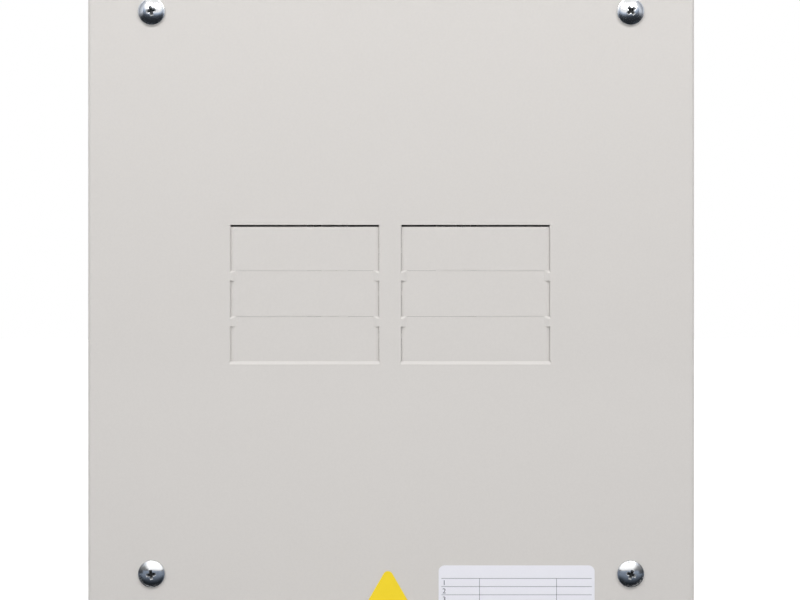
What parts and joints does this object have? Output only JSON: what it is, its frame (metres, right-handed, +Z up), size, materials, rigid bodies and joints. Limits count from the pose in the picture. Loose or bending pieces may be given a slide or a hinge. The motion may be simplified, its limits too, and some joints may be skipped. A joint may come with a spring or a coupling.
{
  "type": "breaker panel box",
  "caption": "Flush wall box for plug-on circuit breakers with bus bars, lugs and terminal bars behind a flat screwed cover with twist-out plates.",
  "frame": {"origin": "centre of the flat back of the box, where it meets the wall", "axes": "+X to the right as one faces the cover, +Y into the wall, +Z up; the cover faces -Y"},
  "size_m": [0.252, 0.0995, 0.312],
  "materials": {
    "cover_paint": "light warm grey powder coat, satin, very fine orange peel",
    "galvanised_sheet": "hot-dip galvanised sheet, dull, fine spangle",
    "bright_zinc": "bright plated steel, near mirror",
    "zinc_screw": "clear zinc plated steel",
    "rivet_steel": "dull zinc plated steel",
    "tinned_copper": "tin plated copper, satin",
    "aluminium": "extruded aluminium, tin plated, satin",
    "black_moulding": "black thermoset moulding, satin",
    "pale_moulding": "natural nylon moulding",
    "green_screw": "green dyed zinc plated steel",
    "label_white": "white vinyl label, satin",
    "sticker_yellow": "plain yellow vinyl sticker, satin"
  },
  "bodies": {
    "enclosure": {"back_and_sides": "galvanised_sheet", "top_wall": "galvanised_sheet", "bottom_wall": "galvanised_sheet", "top_knockouts": "galvanised_sheet", "bottom_knockouts": "galvanised_sheet", "side_knockouts": "galvanised_sheet", "interior_pan": "galvanised_sheet", "breaker_rail_left": "galvanised_sheet", "breaker_rail_right": "galvanised_sheet", "pan_screws": "zinc_screw", "insulator_screws": "zinc_screw", "line_lug_screws": "zinc_screw", "neutral_bar_screws": "zinc_screw", "neutral_lug_screw": "zinc_screw", "neutral_terminal_screws": "zinc_screw", "ground_terminal_screws": "zinc_screw", "ground_bar_screws": "zinc_screw", "line_lug_set_screws": "zinc_screw", "neutral_lug_set_screw": "zinc_screw", "rail_rivets": "rivet_steel", "stab_rivets": "rivet_steel", "line_bus_left": "tinned_copper", "line_bus_right": "tinned_copper", "stabs_left": "tinned_copper", "stab_right": "tinned_copper", "line_lug_left": "aluminium", "line_lug_right": "aluminium", "neutral_lug": "aluminium", "neutral_bar": "aluminium", "ground_bar": "aluminium", "bus_insulator": "black_moulding", "neutral_standoffs": "pale_moulding", "bonding_screw": "green_screw"},
    "cover": {"front_cover": "cover_paint", "rating_label": "label_white", "triangle_sticker": "sticker_yellow"},
    "cover_screw_top_left": {"cover_screw_top_left": "bright_zinc"},
    "cover_screw_top_right": {"cover_screw_top_right": "bright_zinc"},
    "cover_screw_bottom_left": {"cover_screw_bottom_left": "bright_zinc"},
    "cover_screw_bottom_right": {"cover_screw_bottom_right": "bright_zinc"},
    "twist_out_left_1": {"twist_out_left_1": "cover_paint"},
    "twist_out_left_2": {"twist_out_left_2": "cover_paint"},
    "twist_out_left_3": {"twist_out_left_3": "cover_paint"},
    "twist_out_right_1": {"twist_out_right_1": "cover_paint"},
    "twist_out_right_2": {"twist_out_right_2": "cover_paint"},
    "twist_out_right_3": {"twist_out_right_3": "cover_paint"}
  },
  "joints": [
    {"name": "cover_lift", "type": "slide", "parent": "enclosure", "child": "cover", "axis": [0, -1, 0], "range_m": [0, 0.15]},
    {"name": "screw_top_left_undo", "type": "slide", "parent": "cover", "child": "cover_screw_top_left", "axis": [0, -1, 0], "range_m": [0, 0.014]},
    {"name": "screw_top_right_undo", "type": "slide", "parent": "cover", "child": "cover_screw_top_right", "axis": [0, -1, 0], "range_m": [0, 0.014]},
    {"name": "screw_bottom_left_undo", "type": "slide", "parent": "cover", "child": "cover_screw_bottom_left", "axis": [0, -1, 0], "range_m": [0, 0.014]},
    {"name": "screw_bottom_right_undo", "type": "slide", "parent": "cover", "child": "cover_screw_bottom_right", "axis": [0, -1, 0], "range_m": [0, 0.014]},
    {"name": "twist_left_1", "type": "hinge", "parent": "cover", "child": "twist_out_left_1", "pos_m": [-0.0359, -0.0959, 0.00918], "axis": [1, 0, 0], "range_deg": [0, 80]},
    {"name": "twist_left_2", "type": "hinge", "parent": "cover", "child": "twist_out_left_2", "pos_m": [-0.0359, -0.0959, -0.00988], "axis": [1, 0, 0], "range_deg": [0, 80]},
    {"name": "twist_left_3", "type": "hinge", "parent": "cover", "child": "twist_out_left_3", "pos_m": [-0.0359, -0.0959, -0.00988], "axis": [-1, 0, 0], "range_deg": [0, 80]},
    {"name": "twist_right_1", "type": "hinge", "parent": "cover", "child": "twist_out_right_1", "pos_m": [0.0351, -0.0959, 0.00918], "axis": [1, 0, 0], "range_deg": [0, 80]},
    {"name": "twist_right_2", "type": "hinge", "parent": "cover", "child": "twist_out_right_2", "pos_m": [0.0351, -0.0959, -0.00988], "axis": [1, 0, 0], "range_deg": [0, 80]},
    {"name": "twist_right_3", "type": "hinge", "parent": "cover", "child": "twist_out_right_3", "pos_m": [0.0351, -0.0959, -0.00988], "axis": [-1, 0, 0], "range_deg": [0, 80]}
  ]
}
